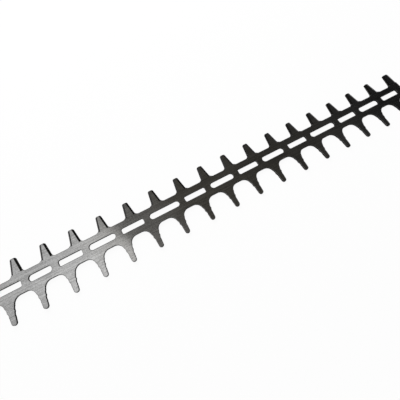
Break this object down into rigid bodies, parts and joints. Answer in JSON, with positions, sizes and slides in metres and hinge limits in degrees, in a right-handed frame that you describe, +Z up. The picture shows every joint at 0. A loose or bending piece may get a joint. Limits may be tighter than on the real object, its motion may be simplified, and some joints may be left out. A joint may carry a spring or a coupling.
{
  "type": "hedge trimmer blade",
  "caption": "Flat one-piece steel hedge trimmer blade: a slotted bar with bevelled cutting teeth on one edge, longer scalloped guard teeth on the other and a round drive eye at its end.",
  "frame": {"origin": "Centre of the drive eye, on the plate's flat underside.", "axes": "X runs along the blade on the line of the slots, from the drive eye to the nose. Y runs across it towards the bevelled cutting teeth. Z runs up through the plate, out of the face that carries the bevels; the blade lies flat on its underside."},
  "size_m": [0.6686, 0.0711, 0.002],
  "materials": {
    "steel": "ground flat, with fine grinding lines along the blade"
  },
  "bodies": {
    "root": {"blade": "steel"}
  },
  "joints": []
}
